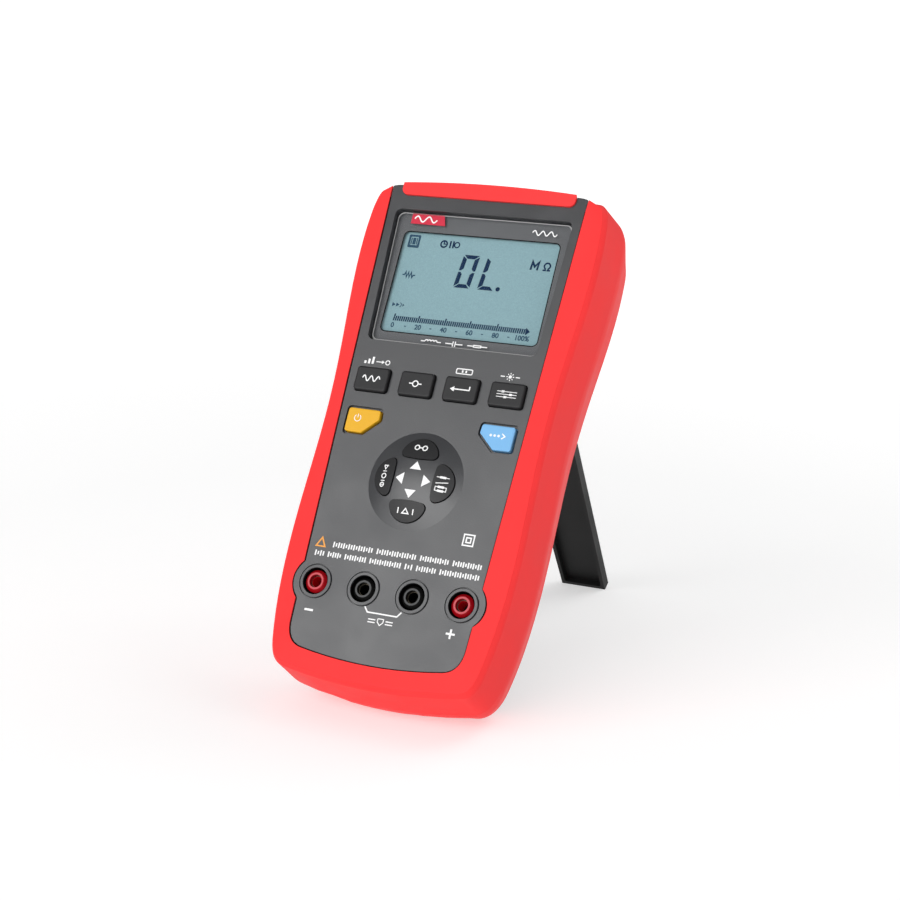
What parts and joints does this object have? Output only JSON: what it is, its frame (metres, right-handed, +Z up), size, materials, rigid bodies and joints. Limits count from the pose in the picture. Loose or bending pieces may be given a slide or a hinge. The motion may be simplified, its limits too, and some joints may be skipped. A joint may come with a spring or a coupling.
{
  "type": "handheld LCR meter",
  "caption": "Handheld component tester with display, keypad and shrouded test sockets, in a rubber bumper, leaning back on its opened tilt stand.",
  "frame": {"origin": "centre of the bounding box's bottom, on the table plane", "axes": "+Z up, the face looks towards -Y and leans back, +X to the right as seen from the front"},
  "size_m": [0.0972, 0.2026, 0.1807],
  "materials": {
    "grey_plastic": "fine satin",
    "dark_plastic": "fine texture",
    "black_plastic": "satin",
    "red_rubber": "matt moulded",
    "red_plastic": "satin",
    "lens": "clear gloss",
    "lcd": "dark segments on pale ground",
    "backlight": "milky",
    "zebra": "striped",
    "board": "varnished",
    "chip": "matt",
    "membrane": "matt",
    "battery_can": "plain jacket",
    "steel": "zinc plated",
    "contact_brass": "plated",
    "key_grey": "matt",
    "key_yellow": "matt",
    "key_blue": "matt"
  },
  "bodies": {
    "meter": {"front_case": "grey_plastic", "rear_case": "dark_plastic", "battery_door": "dark_plastic", "rubber_boot": "red_rubber", "top_strip": "red_plastic", "display_lens": "lens", "lcd_glass": "lcd", "lcd_backlight": "backlight", "lcd_frame": "black_plastic", "zebra_strip": "zebra", "main_board": "board", "main_chip": "chip", "small_chips": "chip", "data_socket": "chip", "keypad_membrane": "membrane", "buzzer": "black_plastic", "battery": "battery_can", "battery_clip": "black_plastic", "board_screws": "steel", "case_screws": "steel", "door_screw": "steel", "hinge_pin": "steel", "socket_body_one": "red_plastic", "socket_body_four": "red_plastic", "socket_body_two": "black_plastic", "socket_body_three": "black_plastic", "socket_contact_one": "contact_brass", "socket_contact_two": "contact_brass", "socket_contact_three": "contact_brass", "socket_contact_four": "contact_brass"},
    "stand": {"tilt_stand": "black_plastic"},
    "row_button_one": {"row_key_one": "key_grey"},
    "row_button_two": {"row_key_two": "key_grey"},
    "row_button_three": {"row_key_three": "key_grey"},
    "row_button_four": {"row_key_four": "key_grey"},
    "power_button": {"power_key": "key_yellow"},
    "function_button": {"function_key": "key_blue"},
    "nav_button_up": {"nav_key_up": "key_grey"},
    "nav_button_left": {"nav_key_left": "key_grey"},
    "nav_button_down": {"nav_key_down": "key_grey"},
    "nav_button_right": {"nav_key_right": "key_grey"}
  },
  "joints": [
    {"name": "stand_fold", "type": "hinge", "parent": "meter", "child": "stand", "pos_m": [0, 0.01168, 0.14137], "axis": [1, 0, 0], "range_deg": [-61.6, 0]},
    {"name": "row_key_one_press", "type": "slide", "parent": "meter", "child": "row_button_one", "axis": [0, 0.8673, -0.4977], "range_m": [0, 0.0008], "stiffness_N_per_m": 1200, "springref_m": -0.0003},
    {"name": "row_key_two_press", "type": "slide", "parent": "meter", "child": "row_button_two", "axis": [0, 0.8673, -0.4977], "range_m": [0, 0.0008], "stiffness_N_per_m": 1200, "springref_m": -0.0003},
    {"name": "row_key_three_press", "type": "slide", "parent": "meter", "child": "row_button_three", "axis": [0, 0.8673, -0.4977], "range_m": [0, 0.0008], "stiffness_N_per_m": 1200, "springref_m": -0.0003},
    {"name": "row_key_four_press", "type": "slide", "parent": "meter", "child": "row_button_four", "axis": [0, 0.8673, -0.4977], "range_m": [0, 0.0008], "stiffness_N_per_m": 1200, "springref_m": -0.0003},
    {"name": "power_key_press", "type": "slide", "parent": "meter", "child": "power_button", "axis": [0, 0.8673, -0.4977], "range_m": [0, 0.0008], "stiffness_N_per_m": 1200, "springref_m": -0.0003},
    {"name": "function_key_press", "type": "slide", "parent": "meter", "child": "function_button", "axis": [0, 0.8673, -0.4977], "range_m": [0, 0.0008], "stiffness_N_per_m": 1200, "springref_m": -0.0003},
    {"name": "nav_key_up_press", "type": "slide", "parent": "meter", "child": "nav_button_up", "axis": [0, 0.8673, -0.4977], "range_m": [0, 0.0008], "stiffness_N_per_m": 1200, "springref_m": -0.0003},
    {"name": "nav_key_left_press", "type": "slide", "parent": "meter", "child": "nav_button_left", "axis": [0, 0.8673, -0.4977], "range_m": [0, 0.0008], "stiffness_N_per_m": 1200, "springref_m": -0.0003},
    {"name": "nav_key_down_press", "type": "slide", "parent": "meter", "child": "nav_button_down", "axis": [0, 0.8673, -0.4977], "range_m": [0, 0.0008], "stiffness_N_per_m": 1200, "springref_m": -0.0003},
    {"name": "nav_key_right_press", "type": "slide", "parent": "meter", "child": "nav_button_right", "axis": [0, 0.8673, -0.4977], "range_m": [0, 0.0008], "stiffness_N_per_m": 1200, "springref_m": -0.0003}
  ]
}
